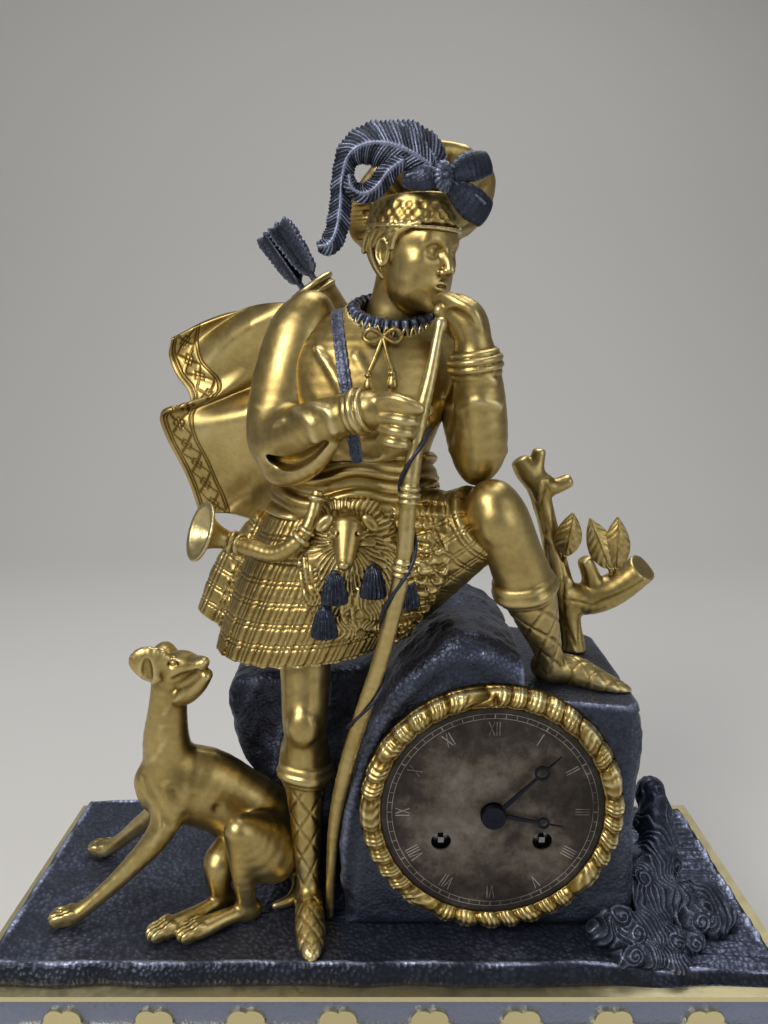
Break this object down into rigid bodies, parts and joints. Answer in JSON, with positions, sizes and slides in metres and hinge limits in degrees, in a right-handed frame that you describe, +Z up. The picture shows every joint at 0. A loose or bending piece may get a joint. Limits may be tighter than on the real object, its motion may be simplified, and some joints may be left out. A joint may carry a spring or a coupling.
{
  "type": "figural clock",
  "caption": "Gilt and dark bronze mantel clock: a hunter in kilt and bonnet leans on a rock that holds the drum movement, with a sitting hound, on a plinth.",
  "frame": {"origin": "On the floor under the middle of the plinth.", "axes": "X runs to the right as the dial is read, Y from the dial to the back, Z up."},
  "size_m": [0.384, 0.162, 0.443],
  "materials": {
    "gilt_bronze": "gilt",
    "dark_bronze": "patinated",
    "brass": "polished",
    "steel": "polished",
    "silvered_brass": "worn silvering",
    "blued_steel": "blued",
    "bell_metal": "turned"
  },
  "bodies": {
    "clock_body": {"plinth_feet": "gilt_bronze", "plinth_base_moulding": "gilt_bronze", "frieze_mounts": "gilt_bronze", "plinth_top_moulding": "gilt_bronze", "tree_stump": "gilt_bronze", "tree_leaves": "gilt_bronze", "right_leg": "gilt_bronze", "left_leg": "gilt_bronze", "kilt": "gilt_bronze", "torso": "gilt_bronze", "waist_sash": "gilt_bronze", "head": "gilt_bronze", "bonnet": "gilt_bronze", "right_arm": "gilt_bronze", "left_arm": "gilt_bronze", "cloak": "gilt_bronze", "quiver": "gilt_bronze", "hunting_horn": "gilt_bronze", "sporran": "gilt_bronze", "bow": "gilt_bronze", "dog": "gilt_bronze", "bezel": "gilt_bronze", "plinth_body": "dark_bronze", "terrace": "dark_bronze", "cascade": "dark_bronze", "rock_case": "dark_bronze", "bonnet_ribbon": "dark_bronze", "plume": "dark_bronze", "lace_collar": "dark_bronze", "arrows": "dark_bronze", "baldric": "dark_bronze", "tassels": "dark_bronze", "dial": "silvered_brass", "drum": "brass", "rear_bezel": "brass", "front_plate": "brass", "back_plate": "brass", "plate_pillars": "brass", "suspension_cock": "brass", "bell": "bell_metal", "bell_stand": "steel", "terrace_bolts": "steel"},
    "minute_hand": {"minute_hand": "blued_steel", "cannon_pinion": "brass"},
    "minute_wheel": {"minute_wheel": "brass"},
    "hour_hand": {"hour_hand": "blued_steel", "hour_wheel": "brass"},
    "third_wheel": {"third_wheel": "brass"},
    "centre_wheel": {"centre_wheel": "brass"},
    "intermediate_wheel": {"intermediate_wheel": "brass"},
    "going_barrel": {"going_barrel": "brass"},
    "escape_wheel": {"escape_wheel": "brass"},
    "pendulum": {"pendulum": "brass"},
    "anchor": {"anchor": "steel"},
    "going_arbor": {"going_arbor": "steel"},
    "strike_arbor": {"strike_arbor": "steel"},
    "strike_barrel": {"strike_barrel": "brass"},
    "pin_wheel": {"pin_wheel": "brass"},
    "hammer": {"hammer": "steel"},
    "rear_door": {"rear_door": "brass"}
  },
  "joints": [
    {"name": "minute_hand_turn", "type": "hinge", "parent": "clock_body", "child": "minute_hand", "pos_m": [0.0485, -0.03, 0.14], "axis": [0, 1, 0], "continuous": true},
    {"name": "minute_wheel_turn", "type": "hinge", "parent": "clock_body", "child": "minute_wheel", "pos_m": [0.04019, -0.03, 0.1448], "axis": [0, 1, 0], "continuous": true},
    {"name": "hour_hand_turn", "type": "hinge", "parent": "clock_body", "child": "hour_hand", "pos_m": [0.0485, -0.03, 0.14], "axis": [0, 1, 0], "continuous": true},
    {"name": "third_wheel_turn", "type": "hinge", "parent": "clock_body", "child": "third_wheel", "pos_m": [0.046, -0.03, 0.15418], "axis": [0, 1, 0], "continuous": true},
    {"name": "centre_wheel_turn", "type": "hinge", "parent": "clock_body", "child": "centre_wheel", "pos_m": [0.0485, -0.03, 0.14], "axis": [0, 1, 0], "continuous": true},
    {"name": "intermediate_wheel_turn", "type": "hinge", "parent": "clock_body", "child": "intermediate_wheel", "pos_m": [0.06341, -0.03, 0.14122], "axis": [0, 1, 0], "continuous": true},
    {"name": "going_barrel_turn", "type": "hinge", "parent": "clock_body", "child": "going_barrel", "pos_m": [0.0713, -0.03, 0.1254], "axis": [0, 1, 0], "continuous": true},
    {"name": "escape_wheel_turn", "type": "hinge", "parent": "clock_body", "child": "escape_wheel", "pos_m": [0.0485, -0.03, 0.16684], "axis": [0, 1, 0], "continuous": true},
    {"name": "pendulum_swing", "type": "hinge", "parent": "clock_body", "child": "pendulum", "pos_m": [0.0485, -0.03, 0.17944], "axis": [0, 1, 0], "range_deg": [-4, 4]},
    {"name": "anchor_rock", "type": "hinge", "parent": "clock_body", "child": "anchor", "pos_m": [0.0485, -0.03, 0.17944], "axis": [0, 1, 0], "range_deg": [-4, 4]},
    {"name": "going_winding", "type": "hinge", "parent": "clock_body", "child": "going_arbor", "pos_m": [0.0713, -0.03, 0.1254], "axis": [0, 1, 0], "range_deg": [0, 1440]},
    {"name": "strike_winding", "type": "hinge", "parent": "clock_body", "child": "strike_arbor", "pos_m": [0.0257, -0.03, 0.1254], "axis": [0, 1, 0], "range_deg": [0, 1440]},
    {"name": "strike_barrel_turn", "type": "hinge", "parent": "clock_body", "child": "strike_barrel", "pos_m": [0.0257, -0.03, 0.1254], "axis": [0, 1, 0], "continuous": true},
    {"name": "pin_wheel_turn", "type": "hinge", "parent": "clock_body", "child": "pin_wheel", "pos_m": [0.03359, -0.03, 0.14122], "axis": [0, 1, 0], "continuous": true},
    {"name": "hammer_lift", "type": "hinge", "parent": "clock_body", "child": "hammer", "pos_m": [0.0125, -0.03, 0.15], "axis": [0, 1, 0], "range_deg": [0, 10], "stiffness_Nm_per_rad": 0.004},
    {"name": "rear_door_swing", "type": "hinge", "parent": "clock_body", "child": "rear_door", "pos_m": [0.105, 0.055, 0.14], "axis": [0, 0, -1], "range_deg": [0, 110]}
  ],
  "couplings": [
    {"joint": "minute_wheel_turn", "follows": "minute_hand_turn", "ratio": -0.33333},
    {"joint": "hour_hand_turn", "follows": "minute_hand_turn", "ratio": 0.083333},
    {"joint": "centre_wheel_turn", "follows": "third_wheel_turn", "ratio": -0.066667},
    {"joint": "intermediate_wheel_turn", "follows": "third_wheel_turn", "ratio": 0.0088889},
    {"joint": "going_barrel_turn", "follows": "third_wheel_turn", "ratio": -0.0011852},
    {"joint": "escape_wheel_turn", "follows": "third_wheel_turn", "ratio": -13.333},
    {"joint": "anchor_rock", "follows": "pendulum_swing", "ratio": 1},
    {"joint": "pin_wheel_turn", "follows": "strike_barrel_turn", "ratio": -7.5}
  ]
}
